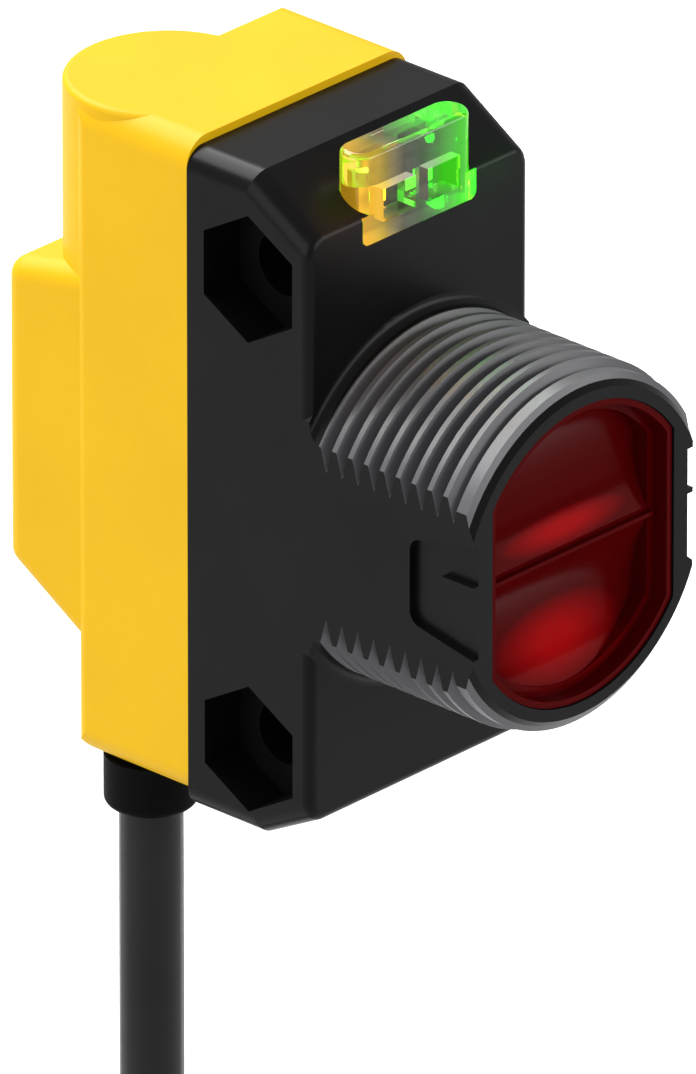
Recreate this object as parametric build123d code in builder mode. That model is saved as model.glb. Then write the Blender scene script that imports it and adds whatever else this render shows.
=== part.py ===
from build123d import *
import math
import os

# A cabled photoelectric sensor with a threaded nose. Millimetres, +Z up. The origin is on the axis of
# the threaded barrel, in the plane of the housing's front face. The barrel and its lens point along -Y,
# and the cable leaves downwards at the back.

os.makedirs("parts", exist_ok=True)

# ---- driving dimensions: housing ----
body_width = 15.0
front_depth = 7.75
front_top = 17.4
front_bottom = 16.42
rear_depth = 7.27
rear_top = 17.81
rear_bottom = 15.86
wall = 1.2
side_edge_round = 1.1
front_edge_round = 0.5
top_chamfer_back = 3.7
bottom_chamfer_back = 3.3
top_chamfer_drop = 2.3
bottom_chamfer_rise = 1.72
rear_corner = 1.35
rear_side_round = 0.7
rear_foot_round = 1.5
rear_rim_round = 0.3
cavity_margin = 0.7

# ---- driving dimensions: rear lobe and cable hump ----
lobe_radius = 4.95
lobe_inset = 0.15
lobe_back = 5.94
hump_width = 10.0
hump_depth = 11.9
hump_top = 9.0
hump_top_drop = 0.9
hump_bottom = 10.1
hump_bottom_rise = 2.86
hump_round = 1.0

# ---- driving dimensions: threaded barrel, M18 x 1 with two flats ----
thread_radius = 9.0
thread_pitch = 1.0
thread_depth = 0.59
groove_half = 0.36
groove_floor = 0.04
groove_count = 10
first_groove = 1.06
last_land_step = 0.28
nose_step = 0.85
barrel_length = 10.32
shoulder_flare = 0.6
flat_pocket_depth = 0.36
flat_pocket_length = 4.0
flat_pocket_front_half = 2.9
flat_pocket_back_half = 2.1
flat_pocket_round = 0.7
flat_rib_z = 0.72
flat_rib_height = 0.24
flat_rib_length = 2.0

# ---- driving dimensions: lens, seal and optics ----
nose_wall = 0.6
flat_wall = 0.94
lens_recess = 0.95
lens_thickness = 2.1
seal_thickness = 0.3
ledge_width = 0.65
divider_width = 0.2
divider_height = 0.3
divider_end_gap = 0.7
dish_depth = 0.9
dish_margin = 0.45
dish_start = 0.3
rim_wall = 0.35
rim_setback = 0.12
lens_dome_rise = 0.8
tunnel_wall = 0.55
tunnel_septum = 1.3
block_end_gap = 0.55
emitter_radius = 1.5
emitter_length = 4.2
diode_size = 4.0
diode_height = 0.9
shield_wall = 0.2
shield_window = 3.0

# ---- driving dimensions: side mounting holes with hex nut pockets ----
hole_spacing = 24.1
hole_diameter = 3.2
hole_back = 3.88
nut_across_flats = 5.6
nut_depth = 2.45

# ---- driving dimensions: indicator light pipe ----
pipe_length = 7.82
pipe_depth = 2.0
pipe_top = 18.16
pipe_bottom = 13.65
plate_width = 7.7
plate_depth = 0.8
plate_corner = 0.4
pipe_rim_round = 0.3
window_left = -2.47
window_right = 0.57
window_width = 2.17
window_bottom = 14.5
window_height = 1.65
window_depth = 1.15
guide_offset = 1.58
guide_width = 1.9
guide_bottom = 14.5
guide_height = 1.3

# ---- driving dimensions: circuit board and its parts ----
board_gap = 0.95
board_thickness = 0.8
board_side_gap = 0.4
board_top_gap = 0.71
board_foot_gap = 2.46
indicator_height = 0.6
indicator_width = 1.2
led_gap = 0.1
chip_height = 1.0
signal_chip_x = 0.6
signal_chip_z = 2.0
signal_chip_size = 5.0
regulator_x = -3.2
regulator_z = 9.2
regulator_size = 3.0
regulator_height = 1.4
capacitor_x = 2.4
capacitor_z = 9.4
capacitor_width = 3.2
capacitor_length = 1.8
capacitor_height = 1.8
diode_x = 3.4
diode_z = -6.4
diode_width = 1.6
diode_length = 2.8
transistor_spacing = 3.4
transistor_z = -3.8
transistor_width = 2.4
transistor_length = 1.4
resistor_count = 5
resistor_pitch = 1.5
resistor_z = 6.2
resistor_width = 0.6
resistor_length = 1.1
resistor_height = 0.5
pad_offset = 3.33
pad_pitch = 1.2
pad_rise = 2.2
solder_radius = 0.45
solder_height = 0.6
solder_taper = 20

# ---- driving dimensions: cable, strain relief and conductors ----
cable_diameter = 3.06
cable_inset = 2.57
cable_back = 4.8
relief_wall = 0.71
neck_wall = 0.32
relief_drop = 2.64
relief_round = 0.4
boss_height = 3.86
boss_radius = 3.2
jacket_setback = 0.1
conductor_diameter = 0.9
conductor_offset = 0.6
conductor_bend = 0.54

# ---- driving dimensions: put-away coil, its tail and the four leads ----
drop_z = -42.0
coil_drop = 40.0
arc_share = 0.45
coil_radius = 17.0
bundle_radius = 7.9
entry_radius = 20.12
tube_overlap = 0.6
tail_side = 7.0
tail_back = 15.0
tail_top_drop = 12.0
tail_length = 27.0
lead_length = 22.0
lead_diameter = 1.0
lead_spread = 0.55
lead_splay = 2.5
lead_knee_splay = 0.63
lead_knee_drop = 7.33
tip_length = 5.0
tip_diameter = 0.7
tie_wall = 0.8
tie_gap = 0.2
tie_width = 3.0

# ---- clearances ----
fit_gap = 0.03
seat_gap = 0.02
part_gap = 0.1
edge_tolerance = 0.001

# ---- places worked out from the sizes above ----
half = body_width / 2
last_land_radius = thread_radius - last_land_step
nose_radius = thread_radius - nose_step
lobe_x = -half + lobe_radius + lobe_inset
lobe_y = front_depth + lobe_back
hump_back = front_depth + hump_depth
cable_x = -half + cable_inset
cable_y = front_depth + cable_back
relief_diameter = cable_diameter + 2 * relief_wall
relief_neck = cable_diameter + 2 * neck_wall
boss_top = -rear_bottom + boss_height
jacket_end = boss_top - jacket_setback
joint_y = front_depth
rear_y = front_depth + rear_depth
nose_y = -barrel_length
hole_z = hole_spacing / 2
inner_half = half - wall
plate_top = front_top - top_chamfer_drop
lens_front = nose_y + lens_recess
lens_back = lens_front + lens_thickness
seat_y = lens_back + seal_thickness
opening_radius = nose_radius - nose_wall
opening_half = half - flat_pocket_depth - flat_wall
bore_radius = opening_radius - ledge_width
bore_half = opening_half - ledge_width
root_radius = thread_radius - thread_depth
board_front = joint_y + board_gap
board_back = board_front + board_thickness
board_width = 2 * (inner_half - board_side_gap)
board_top = rear_top - wall - board_top_gap
board_bottom = rear_bottom - wall - board_foot_gap
pad_x = cable_x + pad_offset
pad_z = jacket_end + pad_rise
cavity_half_height = bore_radius + cavity_margin
tunnel_radius = (bore_radius - tunnel_wall - tunnel_septum / 2) / 2
optics_z = tunnel_radius + tunnel_septum / 2


def facing(y):
    """The plane square to the barrel axis at y, drawn in X and Z, with its normal towards -Y."""
    return Plane.XZ.offset(-y)


def flatted_disc(radius, half_flat):
    """A disc with a flat on its left and on its right."""
    with BuildSketch() as disc:
        Circle(radius)
        Rectangle(2 * half_flat, 2 * radius, mode=Mode.INTERSECT)
    return disc.sketch


# ---- front housing: chamfered box ----
with BuildPart() as front_housing:
    with BuildSketch(Plane.YZ):
        with BuildLine():
            Polyline(
                (joint_y, front_top),
                (top_chamfer_back, front_top),
                (0, plate_top),
                (0, -front_bottom + bottom_chamfer_rise),
                (bottom_chamfer_back, -front_bottom),
                (joint_y, -front_bottom),
                close=True,
            )
        make_face()
    extrude(amount=half, both=True)
    side_edges = front_housing.edges().group_by(Axis.X)[0] + front_housing.edges().group_by(Axis.X)[-1]
    front_edges = side_edges.filter_by(lambda edge: edge.center().Y > edge_tolerance)
    outer_edges = front_edges.filter_by(lambda edge: edge.center().Y < joint_y - edge_tolerance)
    fillet(outer_edges, side_edge_round)
    fillet(front_housing.edges().filter_by(Axis.Z).group_by(Axis.Y)[0], front_edge_round)

# ---- front housing: threaded barrel, as ring grooves on a flatted cylinder ----
barrel_outline = [(thread_radius, wall), (thread_radius + shoulder_flare, wall)]
barrel_outline += [(thread_radius + shoulder_flare, 0), (thread_radius, -shoulder_flare)]
for groove in range(groove_count):
    groove_y = -first_groove - groove * thread_pitch
    before_radius = thread_radius if groove < groove_count - 1 else last_land_radius
    after_radius = thread_radius if groove < groove_count - 2 else last_land_radius
    half_before = groove_half * (before_radius - root_radius) / thread_depth
    half_after = groove_half * (after_radius - root_radius) / thread_depth
    if groove > 0:
        barrel_outline.append((before_radius, groove_y + half_before))
    else:
        barrel_outline.append((before_radius, min(groove_y + half_before, -shoulder_flare - seat_gap)))
    barrel_outline.append((root_radius, groove_y + groove_floor / 2))
    if groove < groove_count - 1:
        barrel_outline.append((root_radius, groove_y - groove_floor / 2))
        barrel_outline.append((after_radius, groove_y - half_after))
barrel_outline += [(nose_radius, nose_y), (0, nose_y), (0, wall)]

with BuildPart() as barrel:
    with BuildSketch(Plane.XY):
        with BuildLine():
            Polyline(*barrel_outline, close=True)
        make_face()
        with Locations((thread_radius + shoulder_flare, -shoulder_flare)):
            Circle(shoulder_flare, mode=Mode.SUBTRACT)
    revolve(axis=Axis.Y)
    Box(body_width, 3 * barrel_length, 4 * thread_radius, mode=Mode.INTERSECT)

# ---- front housing: shallow pockets in the barrel's flats, each with a small rib ----
with BuildPart() as flat_pockets:
    with BuildSketch(Plane.YZ.offset(half - flat_pocket_depth)) as pocket_outline:
        with BuildLine():
            Polyline(
                (nose_y, -flat_pocket_front_half),
                (nose_y + flat_pocket_length, -flat_pocket_back_half),
                (nose_y + flat_pocket_length, flat_pocket_back_half),
                (nose_y, flat_pocket_front_half),
                close=True,
            )
        make_face()
        fillet(pocket_outline.vertices().group_by(Axis.X)[-1], flat_pocket_round)
        with Locations((nose_y + flat_rib_length / 2, flat_rib_z)):
            Rectangle(flat_rib_length, flat_rib_height, mode=Mode.SUBTRACT)
    extrude(amount=2 * flat_pocket_depth)
    mirror(about=Plane.YZ)

# ---- indicator light pipe: a standing bar, a plate flush with the front face, two light guides ----
def pipe_body(gap, guide_end, top):
    """The light pipe grown by gap all round, which is also the opening that takes it."""
    with BuildPart() as pipe:
        with BuildSketch(Plane.XY.offset(pipe_bottom - gap)):
            with Locations((0, pipe_depth / 2)):
                SlotOverall(pipe_length + 2 * gap, pipe_depth + 2 * gap)
        extrude(amount=top - pipe_bottom + gap)
        with BuildSketch(facing(0)) as plate:
            with Locations((0, (pipe_bottom - gap + plate_top) / 2)):
                Rectangle(plate_width + 2 * gap, plate_top - pipe_bottom + gap)
            fillet(plate.vertices().group_by(Axis.Y)[0], plate_corner)
        extrude(amount=-plate_depth - gap)
        with BuildSketch(facing(pipe_depth / 2)):
            with Locations(
                (-guide_offset, guide_bottom + guide_height / 2),
                (guide_offset, guide_bottom + guide_height / 2),
            ):
                Rectangle(guide_width + 2 * gap, guide_height + 2 * gap)
        extrude(amount=pipe_depth / 2 - guide_end)
    return pipe.part


guide_reach = board_front - indicator_height - led_gap
with BuildPart() as light_pipe:
    add(pipe_body(0, guide_reach, pipe_top))
    fillet(light_pipe.faces().sort_by(Axis.Z)[-1].edges(), pipe_rim_round)
    with BuildSketch(facing(0)):
        for window_x in (window_left, window_right):
            with Locations((window_x + window_width / 2, window_bottom + window_height / 2)):
                Rectangle(window_width, window_height)
    extrude(amount=-window_depth, mode=Mode.SUBTRACT)
light_pipe.part.label = "indicator_light_pipe"
export_step(light_pipe.part, "parts/indicator_light_pipe.step")

# ---- front housing: barrel added, then cavity, bore, lens seat, holes and pipe opening cut ----
with BuildPart() as front_shell:
    add(front_housing.part)
    add(barrel.part)
    add(flat_pockets.part, mode=Mode.SUBTRACT)
    with BuildSketch(facing(wall)):
        Rectangle(2 * inner_half, 2 * cavity_half_height)
    extrude(amount=wall - joint_y, mode=Mode.SUBTRACT)
    with BuildSketch(facing(wall)):
        add(flatted_disc(bore_radius, bore_half))
    extrude(amount=wall - nose_y, mode=Mode.SUBTRACT)
    with BuildSketch(facing(seat_y)):
        add(flatted_disc(opening_radius, opening_half))
    extrude(amount=seat_y - nose_y, mode=Mode.SUBTRACT)
    with BuildSketch(Plane.YZ):
        with Locations((hole_back, hole_z), (hole_back, -hole_z)):
            Circle(hole_diameter / 2)
    extrude(amount=half, both=True, mode=Mode.SUBTRACT)
    for side in (-1, 1):
        with BuildSketch(Plane.YZ.offset(side * half)):
            with Locations((hole_back, hole_z), (hole_back, -hole_z)):
                RegularPolygon(nut_across_flats / 2, 6, major_radius=False, rotation=30)
        extrude(amount=-side * nut_depth, mode=Mode.SUBTRACT)
    add(pipe_body(fit_gap, joint_y, rear_top + wall), mode=Mode.SUBTRACT)
front_shell.part.label = "front_housing"
export_step(front_shell.part, "parts/front_housing.step")

# ---- rear housing: rounded cover, lobe, hump, hollow, and a boss round the cable ----
hump_x = lobe_x
with BuildPart() as hump:
    with BuildSketch(Plane.YZ.offset(hump_x - hump_width / 2)):
        with BuildLine():
            Polyline(
                (lobe_y, hump_top + hump_top_drop * (rear_y - lobe_y) / (hump_back - rear_y)),
                (hump_back, hump_top - hump_top_drop),
                (hump_back, -hump_bottom + hump_bottom_rise),
                (rear_y, -hump_bottom),
                (lobe_y, -hump_bottom),
                close=True,
            )
        make_face()
    extrude(amount=hump_width)
    fillet(hump.edges().filter_by(lambda edge: edge.center().Y > rear_y + edge_tolerance), hump_round)

with BuildPart() as lobe:
    with BuildSketch(Plane.XY):
        with Locations((lobe_x, lobe_y)):
            Circle(lobe_radius)
    extrude(amount=rear_top)
    fillet(lobe.faces().sort_by(Axis.Z)[-1].edges(), rear_rim_round)

lobe_inner = lobe_radius - wall
hump_inner_top = hump_top - hump_top_drop - wall
hump_inner_bottom = hump_bottom - hump_bottom_rise - wall
with BuildPart() as rear_shell:
    with BuildSketch(facing(joint_y)):
        with Locations((0, (rear_top - rear_bottom) / 2)):
            RectangleRounded(body_width, rear_top + rear_bottom, rear_corner)
    extrude(amount=-rear_depth)
    with BuildSketch(Plane.YZ) as side_outline:
        with Locations(((joint_y + rear_y) / 2, (rear_top - rear_bottom) / 2)):
            Rectangle(rear_depth, rear_top + rear_bottom)
        fillet(side_outline.vertices().group_by(Axis.X)[-1].sort_by(Axis.Y)[0], rear_foot_round)
        fillet(side_outline.vertices().group_by(Axis.X)[-1].sort_by(Axis.Y)[-1], rear_rim_round)
    extrude(amount=half, both=True, mode=Mode.INTERSECT)
    with BuildSketch(Plane.XY.offset(-rear_bottom)) as top_outline:
        with Locations((0, (joint_y + rear_y) / 2)):
            Rectangle(body_width, rear_depth)
        fillet(top_outline.vertices().group_by(Axis.Y)[-1], rear_side_round)
    extrude(amount=rear_top + rear_bottom, mode=Mode.INTERSECT)
    add(lobe.part)
    add(hump.part)
    with BuildSketch(facing(joint_y)):
        with Locations((0, (rear_top - rear_bottom) / 2)):
            RectangleRounded(2 * inner_half, rear_top + rear_bottom - 2 * wall, rear_corner / 2)
    extrude(amount=wall - rear_depth, mode=Mode.SUBTRACT)
    with BuildSketch(Plane.XY):
        with Locations((lobe_x, lobe_y)):
            Circle(lobe_inner)
    extrude(amount=rear_top - wall, mode=Mode.SUBTRACT)
    with BuildSketch(facing(lobe_y)):
        with Locations((hump_x, (hump_inner_top - hump_inner_bottom) / 2)):
            Rectangle(hump_width - 2 * wall, hump_inner_top + hump_inner_bottom)
    extrude(amount=lobe_y - hump_back + wall, mode=Mode.SUBTRACT)
    with BuildSketch(Plane.XY.offset(wall / 2 - rear_bottom)):
        with Locations((cable_x, cable_y)):
            Circle(boss_radius)
        with Locations((0, (board_back + part_gap + rear_y - wall) / 2)):
            Rectangle(2 * inner_half, rear_y - wall - board_back - part_gap, mode=Mode.INTERSECT)
    extrude(amount=boss_top + rear_bottom - wall / 2)
    with BuildSketch(Plane.XY.offset(boss_top)):
        with Locations((cable_x, cable_y)):
            Circle(relief_neck / 2 + fit_gap)
    extrude(amount=-rear_bottom - boss_top - relief_drop, mode=Mode.SUBTRACT)
rear_shell.part.label = "rear_housing"
export_step(rear_shell.part, "parts/rear_housing.step")

# ---- strain relief: outer collar, neck through the boss, and a head that holds it ----
with BuildPart() as strain_relief:
    with BuildSketch(Plane.XY.offset(-rear_bottom - relief_drop)):
        with Locations((cable_x, cable_y)):
            Circle(relief_diameter / 2)
    extrude(amount=relief_drop - seat_gap)
    fillet(strain_relief.faces().sort_by(Axis.Z)[0].edges(), relief_round)
    with BuildSketch(Plane.XY.offset(-rear_bottom - relief_drop / 2)):
        with Locations((cable_x, cable_y)):
            Circle(relief_neck / 2)
    extrude(amount=boss_top + rear_bottom + relief_drop / 2 - seat_gap)
    with BuildSketch(Plane.XY.offset(-rear_bottom - relief_drop)):
        with Locations((cable_x, cable_y)):
            Circle(cable_diameter / 2 + seat_gap)
    extrude(amount=boss_top + rear_bottom + relief_drop, mode=Mode.SUBTRACT)
strain_relief.part.label = "strain_relief"
export_step(strain_relief.part, "parts/strain_relief.step")

# ---- lens: window with a rim, two hollowed halves, a fine divider between them and two domes behind ----
dome_radius = (tunnel_radius**2 + lens_dome_rise**2) / (2 * lens_dome_rise)
with BuildPart() as lens_domes:
    with Locations((0, lens_back + lens_dome_rise - dome_radius, optics_z)):
        Sphere(dome_radius)
    with Locations((0, lens_back + lens_dome_rise - dome_radius, -optics_z)):
        Sphere(dome_radius)
    with BuildSketch(facing(lens_back + 2 * lens_dome_rise)):
        add(flatted_disc(bore_radius - fit_gap, bore_half - fit_gap))
    extrude(amount=lens_thickness / 2 + 2 * lens_dome_rise, mode=Mode.INTERSECT)

dish_reach = opening_radius - rim_wall - dish_margin
dish_half = (dish_reach + part_gap - dish_start) / 2
dish_radius = (dish_half**2 + dish_depth**2) / (2 * dish_depth)
with BuildPart() as lens_dishes:
    with BuildSketch(Plane.YZ):
        with Locations(
            (lens_front + dish_depth - dish_radius, dish_start + dish_half),
            (lens_front + dish_depth - dish_radius, -dish_start - dish_half),
        ):
            Circle(dish_radius)
    extrude(amount=half, both=True)
    with BuildSketch(facing(lens_front + dish_depth)):
        add(flatted_disc(dish_reach, opening_half - rim_wall - dish_margin))
    extrude(amount=dish_depth, mode=Mode.INTERSECT)

with BuildPart() as lens_cover:
    with BuildSketch(facing(lens_back)):
        add(flatted_disc(opening_radius - fit_gap, opening_half - fit_gap))
    extrude(amount=lens_thickness + lens_recess - rim_setback)
    with BuildSketch(facing(lens_front)):
        add(flatted_disc(opening_radius - rim_wall, opening_half - rim_wall))
    extrude(amount=lens_recess, mode=Mode.SUBTRACT)
    add(lens_dishes.part, mode=Mode.SUBTRACT)
    add(lens_domes.part)
    with BuildSketch(facing(lens_front)):
        Rectangle(2 * (opening_half - divider_end_gap), divider_width)
    extrude(amount=divider_height)
lens_cover.part.label = "lens_cover"
export_step(lens_cover.part, "parts/lens_cover.step")

# ---- flat rubber seal between the lens and the ledge ----
with BuildPart() as lens_seal:
    with BuildSketch(facing(seat_y)):
        add(flatted_disc(opening_radius - part_gap, opening_half - part_gap))
        add(flatted_disc(bore_radius - part_gap, bore_half - part_gap), mode=Mode.SUBTRACT)
    extrude(amount=seal_thickness - seat_gap)
lens_seal.part.label = "lens_seal"
export_step(lens_seal.part, "parts/lens_seal.step")

# ---- optical block: two light tunnels from the lens back to the emitter and the receiver ----
block_front = lens_back + lens_dome_rise + part_gap
block_back = joint_y - block_end_gap
with BuildPart() as optical_block:
    with BuildSketch(facing(wall + 2 * seat_gap)):
        add(flatted_disc(bore_radius - fit_gap, bore_half - fit_gap))
    extrude(amount=wall + 2 * seat_gap - block_front)
    with BuildSketch(facing(wall + seat_gap)):
        Rectangle(2 * (inner_half - fit_gap), 2 * (cavity_half_height - fit_gap))
    extrude(amount=wall + seat_gap - block_back)
    with BuildSketch(facing(block_back)):
        with Locations((0, optics_z), (0, -optics_z)):
            Circle(tunnel_radius)
    extrude(amount=block_back - block_front, mode=Mode.SUBTRACT)
optical_block.part.label = "optical_block"
export_step(optical_block.part, "parts/optical_block.step")

# ---- main circuit board ----
with BuildPart() as circuit_board:
    with BuildSketch(facing(board_back)):
        with Locations((0, (board_top - board_bottom) / 2)):
            Rectangle(board_width, board_top + board_bottom)
    extrude(amount=board_thickness)
circuit_board.part.label = "main_circuit_board"
export_step(circuit_board.part, "parts/main_circuit_board.step")

# ---- light emitter and its domed tip, in the upper tunnel ----
with BuildPart() as emitter_led:
    with BuildSketch(Plane.XY.offset(optics_z)):
        with BuildLine():
            emitter_line = Polyline(
                (0, board_front - seat_gap),
                (emitter_radius, board_front - seat_gap),
                (emitter_radius, board_front - emitter_length + emitter_radius),
            )
            RadiusArc(emitter_line @ 1, (0, board_front - emitter_length), emitter_radius)
            Line((0, board_front - emitter_length), (0, board_front - seat_gap))
        make_face()
    revolve(axis=Axis((0, 0, optics_z), (0, 1, 0)))
emitter_led.part.label = "emitter_led"
export_step(emitter_led.part, "parts/emitter_led.step")

# ---- photodiode and its metal shield, behind the lower tunnel ----
with BuildPart() as photodiode:
    with BuildSketch(facing(board_front - seat_gap)):
        with Locations((0, -optics_z)):
            Rectangle(diode_size, diode_size)
    extrude(amount=diode_height)
photodiode.part.label = "receiver_photodiode"
export_step(photodiode.part, "parts/receiver_photodiode.step")

shield_outer = diode_size + 2 * (shield_wall + part_gap)
with BuildPart() as receiver_shield:
    with BuildSketch(facing(board_front - seat_gap)):
        with Locations((0, -optics_z)):
            Rectangle(shield_outer, shield_outer)
    extrude(amount=diode_height + part_gap + shield_wall)
    with BuildSketch(facing(board_front - seat_gap)):
        with Locations((0, -optics_z)):
            Rectangle(shield_outer - 2 * shield_wall, shield_outer - 2 * shield_wall)
    extrude(amount=diode_height + part_gap, mode=Mode.SUBTRACT)
    with BuildSketch(facing(board_front)):
        with Locations((0, -optics_z)):
            Circle(shield_window / 2)
    extrude(amount=2 * board_gap, mode=Mode.SUBTRACT)
receiver_shield.part.label = "receiver_shield"
export_step(receiver_shield.part, "parts/receiver_shield.step")

# ---- indicator diodes on the board's front, each behind its own light guide ----
for indicator_name, side in (("indicator_led_amber", -1), ("indicator_led_green", 1)):
    with BuildPart() as indicator:
        with BuildSketch(facing(board_front - seat_gap)):
            with Locations((side * guide_offset, guide_bottom + guide_height / 2)):
                Rectangle(indicator_width, indicator_width)
        extrude(amount=indicator_height)
    indicator.part.label = indicator_name
    export_step(indicator.part, f"parts/{indicator_name}.step")


# ---- parts on the board's rear face: name, x, z, width, height along Z, thickness off the board ----
def board_part(name, x, z, width, height, thickness):
    """A moulded chip standing on the board's rear face."""
    with BuildPart() as chip:
        with BuildSketch(facing(board_back + seat_gap)):
            with Locations((x, z)):
                Rectangle(width, height)
        extrude(amount=-thickness)
        chamfer(chip.faces().sort_by(Axis.Y)[-1].edges(), part_gap)
    chip.part.label = name
    export_step(chip.part, f"parts/{name}.step")


board_part("signal_chip", signal_chip_x, signal_chip_z, signal_chip_size, signal_chip_size, chip_height)
board_part("voltage_regulator", regulator_x, regulator_z, regulator_size, regulator_size, regulator_height)
board_part("supply_capacitor", capacitor_x, capacitor_z, capacitor_width, capacitor_length, capacitor_height)
board_part("protection_diode", diode_x, diode_z, diode_width, diode_length, chip_height)
for name, side in (("output_transistor_npn", -1), ("output_transistor_pnp", 1)):
    transistor_x = side * transistor_spacing / 2
    board_part(name, transistor_x, transistor_z, transistor_width, transistor_length, chip_height)

with BuildPart() as chip_resistors:
    with BuildSketch(facing(board_back + seat_gap)):
        with Locations((0, resistor_z)):
            with GridLocations(resistor_pitch, 1, resistor_count, 1):
                Rectangle(resistor_width, resistor_length)
    extrude(amount=-resistor_height)
chip_resistors.part.label = "chip_resistors"
export_step(chip_resistors.part, "parts/chip_resistors.step")

# ---- conductors: from the cut end of the jacket to a column of pads on the board's rear face ----
conductor_places = {"black": (1, -1), "blue": (1, 1), "white": (-1, -1), "brown": (-1, 1)}
conductor_end = board_back + solder_height + seat_gap
for step, (colour, (turn_x, turn_y)) in enumerate(conductor_places.items()):
    start_x = cable_x + turn_x * conductor_offset
    start_y = cable_y + turn_y * conductor_offset
    level = pad_z + step * pad_pitch
    with BuildPart() as conductor:
        with BuildLine() as conductor_path:
            FilletPolyline(
                (start_x, start_y, jacket_end + seat_gap),
                (start_x, start_y, level),
                (pad_x, start_y, level),
                (pad_x, conductor_end, level),
                radius=conductor_bend,
            )
        with BuildSketch(Plane((start_x, start_y, jacket_end + seat_gap))):
            Circle(conductor_diameter / 2)
        sweep(path=conductor_path.line)
    conductor.part.label = f"inner_conductor_{colour}"
    export_step(conductor.part, f"parts/inner_conductor_{colour}.step")

with BuildPart() as solder_joints:
    with BuildSketch(facing(board_back + seat_gap)):
        with Locations((pad_x, pad_z + 1.5 * pad_pitch)):
            with GridLocations(1, pad_pitch, 1, len(conductor_places)):
                Circle(solder_radius)
    extrude(amount=-solder_height + seat_gap, taper=solder_taper)
solder_joints.part.label = "solder_joints"
export_step(solder_joints.part, "parts/solder_joints.step")

# ---- cable: straight down from inside the housing, then one turn towards the coil ----
tangent_turn = math.asin(entry_radius / coil_drop)
tangent_length = math.sqrt(coil_drop**2 - entry_radius**2)
tube_end = tangent_length - math.sqrt((coil_radius + bundle_radius) ** 2 - entry_radius**2) + tube_overlap
coil_z = drop_z - coil_drop
cable_route = [
    (cable_x, cable_y, jacket_end),
    (cable_x, cable_y, drop_z),
    (cable_x, cable_y + tube_end * math.sin(tangent_turn), drop_z - tube_end * math.cos(tangent_turn)),
]


def corner_radii(route):
    """Each corner's arc radius: a share of its shorter run over the tangent of half its turn."""
    radii = []
    for before, corner, after in zip(route, route[1:], route[2:]):
        run_in = Vector(corner) - Vector(before)
        run_out = Vector(after) - Vector(corner)
        turn = math.radians(run_in.get_angle(run_out))
        radii.append(arc_share * min(run_in.length, run_out.length) / math.tan(turn / 2))
    return radii


print("cable arc radii, mm:", [round(radius, 1) for radius in corner_radii(cable_route)])
with BuildPart() as cable:
    with BuildLine() as cable_path:
        FilletPolyline(*cable_route, radius=corner_radii(cable_route)[0])
    with BuildSketch(Plane(cable_route[0])):
        Circle(cable_diameter / 2)
    sweep(path=cable_path.line)
cable_length = sum(edge.length for edge in cable_path.edges())
cable_section = math.pi * cable_diameter**2 / 4
print("cable volume over section times length:", round(cable.part.volume / (cable_section * cable_length), 4))
cable.part.label = "cable"
export_step(cable.part, "parts/cable.step")

# ---- coil of the remaining cable, hanging below the bend, as one closed ring ----
with BuildPart() as coil:
    with BuildSketch(Plane.XY.offset(coil_z)):
        with Locations((cable_x, cable_y + coil_radius)):
            Circle(bundle_radius)
    revolve(axis=Axis((cable_x, cable_y, coil_z), (1, 0, 0)))
coil.part.label = "cable_coil"
export_step(coil.part, "parts/cable_coil.step")

# ---- tie round the coil's foot ----
tie_radius = bundle_radius + tie_gap
with BuildPart() as coil_tie:
    with BuildSketch(facing(cable_y + tie_width / 2)):
        with Locations((cable_x, coil_z - coil_radius)):
            Circle(tie_radius + tie_wall)
            Circle(tie_radius, mode=Mode.SUBTRACT)
    extrude(amount=tie_width)
coil_tie.part.label = "cable_tie"
export_step(coil_tie.part, "parts/cable_tie.step")

# ---- tail: the end of the jacket, straight down from the coil's back side ----
tail_x = cable_x + tail_side
tail_y = cable_y + tail_back
tail_top = coil_z - tail_top_drop
tail_bottom = coil_z - tail_length
with BuildPart() as cable_tail:
    with BuildSketch(Plane.XY.offset(tail_top)):
        with Locations((tail_x, tail_y)):
            Circle(cable_diameter / 2)
    extrude(amount=tail_bottom - tail_top)
cable_tail.part.label = "cable_tail"
export_step(cable_tail.part, "parts/cable_tail.step")

# ---- four leads beyond the jacket, each with a tinned tip ----
lead_routes = {}
for colour, (turn_x, turn_y) in conductor_places.items():
    start = Vector(tail_x + turn_x * lead_spread, tail_y + turn_y * lead_spread, tail_bottom - seat_gap)
    knee = start + Vector(turn_x * lead_knee_splay, turn_y * lead_knee_splay, -lead_knee_drop)
    end = start + Vector(turn_x * lead_splay, turn_y * lead_splay, -lead_length)
    lead_routes[colour] = [start, knee, end]

with BuildPart() as lead_tips:
    for start, knee, end in lead_routes.values():
        with BuildSketch(Plane(end, z_dir=end - knee)):
            Circle(tip_diameter / 2)
        extrude(amount=tip_length)
lead_tips.part.label = "lead_tips"
export_step(lead_tips.part, "parts/lead_tips.step")

for colour, lead_route in lead_routes.items():
    start, knee, end = lead_route
    with BuildPart() as lead:
        with BuildLine() as lead_path:
            FilletPolyline(*lead_route, radius=corner_radii(lead_route)[0])
        with BuildSketch(Plane(start, z_dir=knee - start)):
            Circle(lead_diameter / 2)
        sweep(path=lead_path.line)
    lead.part.label = f"lead_{colour}"
    export_step(lead.part, f"parts/lead_{colour}.step")
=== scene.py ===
import math

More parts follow.
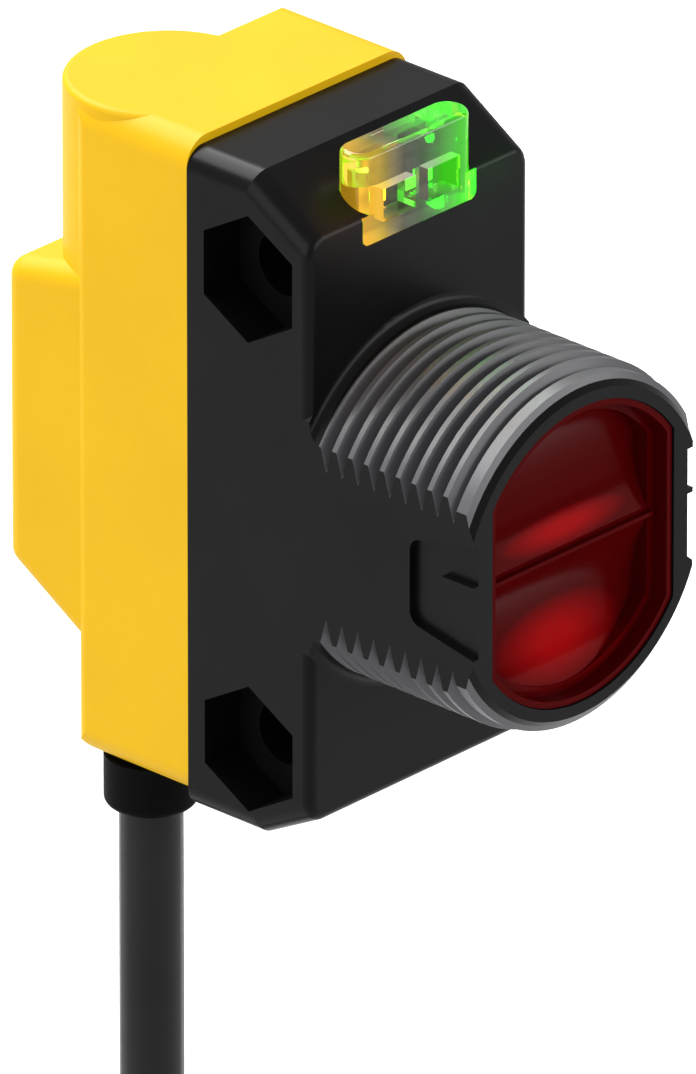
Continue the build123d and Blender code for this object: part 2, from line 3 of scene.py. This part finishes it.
import bmesh
import bpy
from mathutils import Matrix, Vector


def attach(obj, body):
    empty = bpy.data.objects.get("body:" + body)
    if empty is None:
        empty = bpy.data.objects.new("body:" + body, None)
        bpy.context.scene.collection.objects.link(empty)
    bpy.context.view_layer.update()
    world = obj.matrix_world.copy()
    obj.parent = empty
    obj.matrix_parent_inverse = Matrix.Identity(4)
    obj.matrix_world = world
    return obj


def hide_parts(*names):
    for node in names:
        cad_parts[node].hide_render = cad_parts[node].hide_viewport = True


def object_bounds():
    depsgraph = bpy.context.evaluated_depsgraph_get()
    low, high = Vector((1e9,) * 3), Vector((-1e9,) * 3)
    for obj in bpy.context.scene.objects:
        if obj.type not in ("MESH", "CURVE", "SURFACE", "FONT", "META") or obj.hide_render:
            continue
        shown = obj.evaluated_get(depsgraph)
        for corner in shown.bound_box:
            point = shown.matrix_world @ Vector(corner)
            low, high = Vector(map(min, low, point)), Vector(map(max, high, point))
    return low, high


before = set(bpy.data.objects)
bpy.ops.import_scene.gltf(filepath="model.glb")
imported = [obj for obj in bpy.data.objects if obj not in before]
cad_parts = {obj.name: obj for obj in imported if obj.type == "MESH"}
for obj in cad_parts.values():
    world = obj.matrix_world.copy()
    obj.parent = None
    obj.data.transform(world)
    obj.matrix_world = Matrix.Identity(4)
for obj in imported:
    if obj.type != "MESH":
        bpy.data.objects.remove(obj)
cad_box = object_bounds()

# ---- cable ----
# A four-wire PVC cable with a smooth black jacket, two metres long. It drops straight from the strain
# relief, then turns gently into the put-away coil, whose turns are laid side by side and tied at the foot.
MM = 0.001
cable_diameter = 3.06 * MM
cable_x = -4.93 * MM
cable_y = 12.55 * MM
cable_start_z = -16.0 * MM
drop_z = -42.0 * MM
coil_drop = 40.0 * MM
coil_radius = 17.0 * MM
turn_spacing = 3.12 * MM
coil_turns = 18
points_per_turn = 16
coil_z = drop_z - coil_drop
tail_x = cable_x + 7.0 * MM
tail_y = cable_y + 15.0 * MM
tail_end_z = coil_z - 27.0 * MM
radius_pull = math.cos(math.pi / points_per_turn)
lane_change_start = 0.7
bend_lead_in = 9 * MM
tail_lean_x = 1.4 * MM
tail_lean_y = 0.6 * MM
tail_drops = (2 * MM, 11 * MM, 19 * MM)

layer_height = turn_spacing * math.sqrt(3) / 2
lanes = []
for layer, places in ((-2, 3), (-1, 4), (0, 5), (1, 4), (2, 3)):
    direction = 1 if layer % 2 else -1
    for place in range(places):
        out = direction * (place - (places - 1) / 2) * turn_spacing
        lanes.append((layer * layer_height, coil_radius + out))

entry_radius = lanes[0][1]
entry_angle = math.asin(entry_radius / coil_drop)
cable_route = [
    Vector((cable_x, cable_y, cable_start_z)),
    Vector((cable_x, cable_y, drop_z + bend_lead_in)),
    Vector((cable_x, cable_y, drop_z)),
]
for step in range(coil_turns * points_per_turn + 1):
    turn, part = divmod(step, points_per_turn)
    part /= points_per_turn
    blend = max(0, part - lane_change_start) / (1 - lane_change_start)
    side_now, radius_now = lanes[turn]
    side_next, radius_next = lanes[min(turn + 1, len(lanes) - 1)]
    side = side_now + (side_next - side_now) * blend
    radius = (radius_now + (radius_next - radius_now) * blend) / radius_pull
    angle = entry_angle - math.tau * step / points_per_turn
    cable_route.append(
        Vector((cable_x + side, cable_y + radius * math.cos(angle), coil_z + radius * math.sin(angle)))
    )
cable_route += [
    Vector((tail_x + tail_lean_x, tail_y - tail_lean_y, coil_z - tail_drops[0])),
    Vector((tail_x + tail_lean_x, tail_y, coil_z - tail_drops[1])),
    Vector((tail_x, tail_y, coil_z - tail_drops[2])),
    Vector((tail_x, tail_y, tail_end_z)),
]
cable_curve = bpy.data.curves.new("cable_jacket", "CURVE")
cable_curve.dimensions = "3D"
cable_curve.bevel_depth = cable_diameter / 2
cable_curve.bevel_resolution = 5
cable_curve.use_fill_caps = True
cable_curve.resolution_u = 4
cable_spline = cable_curve.splines.new("NURBS")
cable_spline.points.add(len(cable_route) - 1)
for point, place in zip(cable_spline.points, cable_route):
    point.co = (*place, 1)
cable_spline.order_u = 3
cable_spline.use_endpoint_u = True
cable = bpy.data.objects.new("cable_jacket", cable_curve)
bpy.context.scene.collection.objects.link(cable)


def linear(hex_colour):
    """An sRGB hex colour as linear red, green, blue and alpha."""
    channels = [int(hex_colour[i : i + 2], 16) / 255 for i in (1, 3, 5)]
    return [c / 12.92 if c <= 0.04045 else ((c + 0.055) / 1.055) ** 2.4 for c in channels] + [1]


def add_node(material, kind, settings=None, inputs=None, links=None):
    """Adds a shader node, sets its properties and socket values, and links sockets from other nodes."""
    node = material.node_tree.nodes.new(kind)
    for name, value in (settings or {}).items():
        setattr(node, name, value)
    for name, value in (inputs or {}).items():
        node.inputs[name].default_value = value
    for name, source in (links or {}).items():
        material.node_tree.links.new(source, node.inputs[name])
    return node


def new_material(name, **surface):
    """A material with a Principled shader, whose sockets are set by their names in small letters."""
    material = bpy.data.materials.new(name)
    material.use_nodes = True
    shader = material.node_tree.nodes["Principled BSDF"]
    sockets = {socket.name.lower().replace(" ", "_"): socket for socket in shader.inputs}
    for socket, value in surface.items():
        sockets[socket].default_value = value
    return material, shader


def set_ramp(ramp, stops):
    """Gives a colour ramp its stops, each a position and a linear colour."""
    while len(ramp.elements) < len(stops):
        ramp.elements.new(0.5)
    for element, (position, colour) in zip(ramp.elements, stops):
        element.position = position
        element.color = colour


def moulded_grain(material, shader, grain_mm, depth_mm, colours, roughness):
    """Fine mould texture: a bump, a slight colour drift and a slight change of gloss.

    The grain is drawn a few times coarser than the real one, which is too fine to show.
    """
    grain_detail = 3.0
    bump_strength = 0.35
    drift_size = 6 * MM
    drift_detail = 2.0
    drift_from, drift_to = 0.35, 0.65
    where = add_node(material, "ShaderNodeTexCoord").outputs["Object"]
    grain = add_node(material, "ShaderNodeTexNoise",
                     inputs={"Scale": 1 / (grain_mm * MM), "Detail": grain_detail}, links={"Vector": where})
    bump = add_node(material, "ShaderNodeBump", inputs={"Strength": bump_strength, "Distance": depth_mm * MM},
                    links={"Height": grain.outputs["Fac"]})
    drift = add_node(material, "ShaderNodeTexNoise", inputs={"Scale": 1 / drift_size, "Detail": drift_detail},
                     links={"Vector": where})
    tint = add_node(material, "ShaderNodeValToRGB", links={"Fac": drift.outputs["Fac"]})
    set_ramp(tint.color_ramp, [(drift_from, linear(colours[0])), (drift_to, linear(colours[1]))])
    gloss = add_node(material, "ShaderNodeMapRange", inputs={"To Min": roughness[0], "To Max": roughness[1]},
                     links={"Value": grain.outputs["Fac"]})
    links = material.node_tree.links
    links.new(bump.outputs["Normal"], shader.inputs["Normal"])
    links.new(tint.outputs["Color"], shader.inputs["Base Color"])
    links.new(gloss.outputs["Result"], shader.inputs["Roughness"])


# Extruded PVC: black, with the soft even sheen of a jacket drawn through a die, and slightly uneven in gloss.
black_pvc, black_pvc_shader = new_material("extruded_black_pvc", ior=1.53, specular_ior_level=0.25)
moulded_grain(black_pvc, black_pvc_shader, 0.4, 0.01, ("#0C0C0D", "#121214"), (0.30, 0.40))
cable_curve.materials.append(black_pvc)
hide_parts("cable", "cable_coil", "cable_tail")
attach(cable, "root")


# ---- cable tie ----
# A nylon band drawn round the foot of the coil. Moulded nylon is smooth and slightly waxy.
def coat(node, material):
    """Puts a material on a CAD node in place of its plain one."""
    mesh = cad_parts[node].data
    mesh.materials.clear()
    mesh.materials.append(material)


black_nylon, black_nylon_shader = new_material("moulded_black_nylon", ior=1.53)
moulded_grain(black_nylon, black_nylon_shader, 0.5, 0.01, ("#141415", "#1A1A1C"), (0.34, 0.44))
coat("cable_tie", black_nylon)

# ---- leads ----
# The four conductors past the jacket's end, each in its own coloured PVC, with stripped and tinned tips.
# The short conductors inside the housing are the same wires.
lead_colours = {"brown": ("#4A2412", "#5A2E18"), "white": ("#DAD8D0", "#E8E6DE"),
                "blue": ("#123E9A", "#1A4CB0"), "black": ("#101011", "#171719")}
for colour, shades in lead_colours.items():
    lead_pvc, lead_pvc_shader = new_material(f"extruded_{colour}_pvc", ior=1.53)
    moulded_grain(lead_pvc, lead_pvc_shader, 0.3, 0.005, shades, (0.32, 0.42))
    coat(f"lead_{colour}", lead_pvc)
    coat(f"inner_conductor_{colour}", lead_pvc)

# Tinned copper: bright, with the soft ripple of solder that has run and set.
tinned_copper, tinned_copper_shader = new_material("tinned_copper", metallic=1.0)
moulded_grain(tinned_copper, tinned_copper_shader, 0.25, 0.02, ("#B8B9BC", "#D2D2D4"), (0.22, 0.36))
coat("lead_tips", tinned_copper)
coat("solder_joints", tinned_copper)

# ---- strain relief ----
# A thermoplastic-rubber collar moulded on to the cable and pulled into the housing's boss.
black_rubber, black_rubber_shader = new_material("moulded_black_rubber", ior=1.5, specular_ior_level=0.05)
moulded_grain(black_rubber, black_rubber_shader, 0.12, 0.008, ("#060607", "#09090A"), (0.48, 0.6))
coat("strain_relief", black_rubber)
coat("lens_seal", black_rubber)

# ---- front housing ----
# Injection-moulded black ABS with the barrel and its thread in one piece. The mould's fine spark finish
# gives a satin black that turns grey where it faces the light.
black_abs, black_abs_shader = new_material("moulded_black_abs", ior=1.5, specular_ior_level=0.13)
moulded_grain(black_abs, black_abs_shader, 0.09, 0.006, ("#0C0C0D", "#101011"), (0.26, 0.34))
coat("front_housing", black_abs)

# The thread's crests and front flanks are given a lighter grey satin: a painted highlight where they face the
# light in front and above.
# Its rear flanks, the flats and the nose's front ring keep the moulded black.
thread_highlight_painted_abs, thread_highlight_painted_shader = new_material("rubbed_black_abs", ior=1.5, specular_ior_level=0.6)
moulded_grain(thread_highlight_painted_abs, thread_highlight_painted_shader, 0.09, 0.004, ("#4C4C50", "#545458"), (0.34, 0.42))
thread_inner_radius = 8.35 * MM
thread_start_y = -0.6 * MM
flat_half = 7.45 * MM
rear_flank_lean = 0.3
housing_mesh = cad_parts["front_housing"].data
housing_mesh.materials.append(thread_highlight_painted_abs)
# Painted highlight: thread faces that do not face backwards get the lighter grey.
for face in housing_mesh.polygons:
    middle = face.center
    on_thread = math.hypot(middle.x, middle.z) > thread_inner_radius and middle.y < thread_start_y
    if on_thread and abs(middle.x) < flat_half and face.normal.y < rear_flank_lean:
        face.material_index = 1

# ---- rear housing ----
# Injection-moulded yellow ABS, welded to the front housing all round the joint. The same satin finish.
yellow_abs, yellow_abs_shader = new_material("moulded_yellow_abs", ior=1.5, specular_ior_level=0.2)
moulded_grain(yellow_abs, yellow_abs_shader, 0.09, 0.004, ("#E6B400", "#EAB804"), (0.42, 0.52))
coat("rear_housing", yellow_abs)

# ---- lens ----
# One flatted window of polished acrylic dyed deep red, with a rim, a hollow in each half and a divider between
# them. It is nearly black where it backs on the dark tunnels. A pool of light is painted as a brighter red into
# its base colour in the foot of each hollow, given as a centre and reaches across and up, in millimetres.
red_acrylic, red_acrylic_shader = new_material("dyed_red_acrylic", ior=1.22, roughness=0.14,
                                               transmission_weight=0.15, specular_ior_level=0.12)
red_acrylic_shader.inputs["Specular Tint"].default_value = linear("#FF2A22")
lens_where = add_node(red_acrylic, "ShaderNodeTexCoord").outputs["Object"]
# Painted light: each pool is a brighter red painted into the base colour, fading out from its centre.
painted_light_pools = []
for (pool_x, pool_z), (reach_x, reach_z) in (((0.0, -4.8), (4.4, 2.2)), ((0.0, 1.0), (4.4, 0.8))):
    painted_pool_map = add_node(red_acrylic, "ShaderNodeMapping",
                        inputs={"Location": (-pool_x / reach_x, 0, -pool_z / reach_z),
                                "Scale": (1 / (reach_x * MM), 0, 1 / (reach_z * MM))},
                        links={"Vector": lens_where})
    painted_light_pools.append(add_node(red_acrylic, "ShaderNodeTexGradient", {"gradient_type": "SPHERICAL"},
                          links={"Vector": painted_pool_map.outputs["Vector"]}).outputs["Fac"])
painted_pool_mask = add_node(red_acrylic, "ShaderNodeMath", {"operation": "MAXIMUM"}, links={0: painted_light_pools[0], 1: painted_light_pools[1]})
dye_and_painted_pool_colour = add_node(red_acrylic, "ShaderNodeValToRGB", links={"Fac": painted_pool_mask.outputs["Value"]})
set_ramp(dye_and_painted_pool_colour.color_ramp, [(0.0, linear("#500305")), (0.75, linear("#A80A0E"))])
red_acrylic.node_tree.links.new(dye_and_painted_pool_colour.outputs["Color"], red_acrylic_shader.inputs["Base Color"])
coat("lens_cover", red_acrylic)

# ---- optical block ----
# The black tunnels behind the lens, moulded matt so that stray light dies in them.
matt_black, matt_black_shader = new_material("matt_black_polycarbonate", ior=1.58, specular_ior_level=0.3)
moulded_grain(matt_black, matt_black_shader, 0.15, 0.01, ("#0A0A0B", "#0F0F10"), (0.6, 0.75))
coat("optical_block", matt_black)

# ---- emitter, receiver and shield ----
# A red epoxy diode with a domed tip, a dark-filtered photodiode, and a tin-plated can over the latter.
red_epoxy, red_epoxy_shader = new_material("clear_red_epoxy", ior=1.54, roughness=0.06, transmission_weight=0.8)
red_epoxy_shader.inputs["Base Color"].default_value = linear("#E03028")
coat("emitter_led", red_epoxy)
dark_epoxy, dark_epoxy_shader = new_material("dark_filter_epoxy", ior=1.54, coat_weight=0.5)
moulded_grain(dark_epoxy, dark_epoxy_shader, 0.2, 0.003, ("#140A12", "#1A0E18"), (0.12, 0.2))
coat("receiver_photodiode", dark_epoxy)
tin_plate, tin_plate_shader = new_material("tin_plated_steel", metallic=1.0)
moulded_grain(tin_plate, tin_plate_shader, 0.3, 0.004, ("#A6A6A4", "#BEBEBC"), (0.3, 0.42))
coat("receiver_shield", tin_plate)

# ---- circuit board and its parts ----
# Glass-epoxy laminate under green solder mask, with moulded epoxy chips and an ochre capacitor.
green_mask, green_mask_shader = new_material("green_solder_mask", ior=1.52, coat_weight=0.4)
moulded_grain(green_mask, green_mask_shader, 0.3, 0.006, ("#0C4A22", "#125C2C"), (0.3, 0.42))
coat("main_circuit_board", green_mask)
chip_epoxy, chip_epoxy_shader = new_material("moulded_chip_epoxy", ior=1.55)
moulded_grain(chip_epoxy, chip_epoxy_shader, 0.08, 0.006, ("#161617", "#1D1D1E"), (0.5, 0.62))
for chip in ("signal_chip", "voltage_regulator", "protection_diode", "output_transistor_npn",
             "output_transistor_pnp", "chip_resistors"):
    coat(chip, chip_epoxy)
ochre_epoxy, ochre_epoxy_shader = new_material("ochre_capacitor_epoxy", ior=1.55)
moulded_grain(ochre_epoxy, ochre_epoxy_shader, 0.1, 0.006, ("#C08020", "#D09030"), (0.45, 0.55))
coat("supply_capacitor", ochre_epoxy)

# ---- indicator diodes ----
# Lit amber and green diodes, one behind each guide of the light pipe.
for name, glow in (("amber", "#FFB000"), ("green", "#30FF18")):
    lit_epoxy, lit_epoxy_shader = new_material(f"lit_{name}_epoxy", roughness=0.3, emission_strength=6.0)
    lit_epoxy_shader.inputs["Base Color"].default_value = linear(glow)
    lit_epoxy_shader.inputs["Emission Color"].default_value = linear(glow)
    coat(f"indicator_led_{name}", lit_epoxy)

# ---- indicator light pipe ----
# Clear polycarbonate, polished, snapped into the housing's chamfer. Amber light fills its left half and
# green its right half, strongest at the ends, where the light turns up and out.
clear_pc, clear_pc_shader = new_material("clear_polycarbonate", ior=1.45, roughness=0.02,
                                         transmission_weight=1.0)
pipe_half = 3.91 * MM
pipe_where = add_node(clear_pc, "ShaderNodeTexCoord").outputs["Object"]
pipe_axes = add_node(clear_pc, "ShaderNodeSeparateXYZ", links={"Vector": pipe_where})
pipe_across = add_node(clear_pc, "ShaderNodeMapRange", inputs={"From Min": -pipe_half, "From Max": pipe_half},
                       links={"Value": pipe_axes.outputs["X"]})
pipe_glow = add_node(clear_pc, "ShaderNodeValToRGB", links={"Fac": pipe_across.outputs["Result"]})
glow_stops = ((0.0, "#FFC020"), (0.2, "#FFD838"), (0.42, "#F8F2D8"), (0.6, "#E4F6D8"), (0.84, "#70FF40"),
              (1.0, "#38F020"))
set_ramp(pipe_glow.color_ramp, [(position, linear(colour)) for position, colour in glow_stops])
pipe_strength = add_node(clear_pc, "ShaderNodeValToRGB", links={"Fac": pipe_across.outputs["Result"]})
strength_stops = ((0.0, 0.3), (0.14, 0.3), (0.36, 0.02), (0.66, 0.02), (0.86, 0.2), (1.0, 0.42))
set_ramp(pipe_strength.color_ramp, [(position, (value, value, value, 1)) for position, value in strength_stops])
clear_pc.node_tree.links.new(pipe_glow.outputs["Color"], clear_pc_shader.inputs["Base Color"])
clear_pc.node_tree.links.new(pipe_glow.outputs["Color"], clear_pc_shader.inputs["Emission Color"])
clear_pc.node_tree.links.new(pipe_strength.outputs["Color"], clear_pc_shader.inputs["Emission Strength"])
coat("indicator_light_pipe", clear_pc)

# The light that leaves the pipe's two ends spills on the housing round it. Places are in millimetres.
spill_radius = 0.6 * MM
for name, place, colour, power in (("amber_spill", (-4.9, -1.2, 16.4), "#FFA010", 0.0005),
                                   ("green_spill", (5.1, -1.6, 15.2), "#30FF18", 0.0003)):
    spill_data = bpy.data.lights.new(name, "POINT")
    spill_data.energy = power
    spill_data.color = linear(colour)[:3]
    spill_data.shadow_soft_size = spill_radius
    spill = bpy.data.objects.new(name, spill_data)
    bpy.context.scene.collection.objects.link(spill)
    spill.location = Vector(place) * MM
    spill.visible_glossy = False

# ---- camera ----
# A long lens from the left, above the nose, so that parallel edges stay parallel. It looks at a point
# just left of the barrel's axis, and the picture is as tall as the sensor and the first bit of cable.
camera_side = Vector((-0.6609, -0.6150, 0.4301))
look_at = Vector((-1.850, 2.820, -2.741)) * MM
camera_distance = 1.35
picture_height = 0.049932

camera_data = bpy.data.cameras.new("camera")
camera_data.sensor_width = 36
camera_data.lens = camera_data.sensor_width * camera_distance / picture_height
camera_data.clip_end = 10
camera = bpy.data.objects.new("camera", camera_data)
bpy.context.scene.collection.objects.link(camera)
camera.location = look_at + camera_side * camera_distance
camera.rotation_euler = (-camera_side).to_track_quat("-Z", "Y").to_euler()
bpy.context.scene.camera = camera

# ---- floor ----
# A plain pale floor under the lowest point of the cable's leads.
floor_half = 4.0
floor_gap = 2 * MM
floor_mesh = bpy.data.meshes.new("floor")
floor_form = bmesh.new()
bmesh.ops.create_grid(floor_form, x_segments=1, y_segments=1, size=floor_half)
bmesh.ops.translate(floor_form, verts=floor_form.verts, vec=(0, 0, cad_box[0][2] - floor_gap))
floor_form.to_mesh(floor_mesh)
floor_form.free()
floor = bpy.data.objects.new("floor", floor_mesh)
bpy.context.scene.collection.objects.link(floor)
pale_paper, pale_paper_shader = new_material("pale_paper", roughness=0.9, specular_ior_level=0.1)
pale_paper_shader.inputs["Base Color"].default_value = linear("#C8C8C8")
floor_mesh.materials.append(pale_paper)


# ---- studio light ----
# A wide soft box overhead and behind draws the highlights along the thread, a soft one on the left lights
# the yellow side, a low strip in front lights the thread's flanks and the lens, and a spot whitens the floor
# behind the sensor. Places and sizes are in metres, powers in watts.
def soft_box(name, place, width, height, power):
    """A rectangular area light at a place, aimed at the sensor."""
    data = bpy.data.lights.new(name, "AREA")
    data.shape = "RECTANGLE"
    data.size = width
    data.size_y = height
    data.energy = power
    light = bpy.data.objects.new(name, data)
    bpy.context.scene.collection.objects.link(light)
    light.location = place
    light.rotation_euler = Vector(place).to_track_quat("Z", "Y").to_euler()


soft_box("overhead_box", (0.0, 0.64, 0.72), 1.1, 0.5, 15.0)
soft_box("left_box", (-0.95, 0.1, 0.3), 0.8, 0.8, 4.0)
soft_box("front_strip", (0.42, -0.88, 0.22), 1.2, 0.4, 6.0)

floor_spot_data = bpy.data.lights.new("floor_spot", "SPOT")
floor_spot_data.energy = 12.0
floor_spot_data.spot_size = math.radians(50)
floor_spot_data.spot_blend = 0.8
floor_spot_data.shadow_soft_size = 0.05
floor_spot = bpy.data.objects.new("floor_spot", floor_spot_data)
bpy.context.scene.collection.objects.link(floor_spot)
floor_spot.location = (0.38, 0.36, 0.25)
floor_spot_aim = Vector((0.2, 0.19, -0.136)) - floor_spot.location
floor_spot.rotation_euler = floor_spot_aim.to_track_quat("-Z", "Y").to_euler()

surround_strength = 0.45
world = bpy.data.worlds.new("white_surround")
world.use_nodes = True
world.node_tree.nodes["Background"].inputs["Color"].default_value = (1, 1, 1, 1)
world.node_tree.nodes["Background"].inputs["Strength"].default_value = surround_strength
bpy.context.scene.world = world
bpy.context.scene.view_settings.view_transform = "Standard"
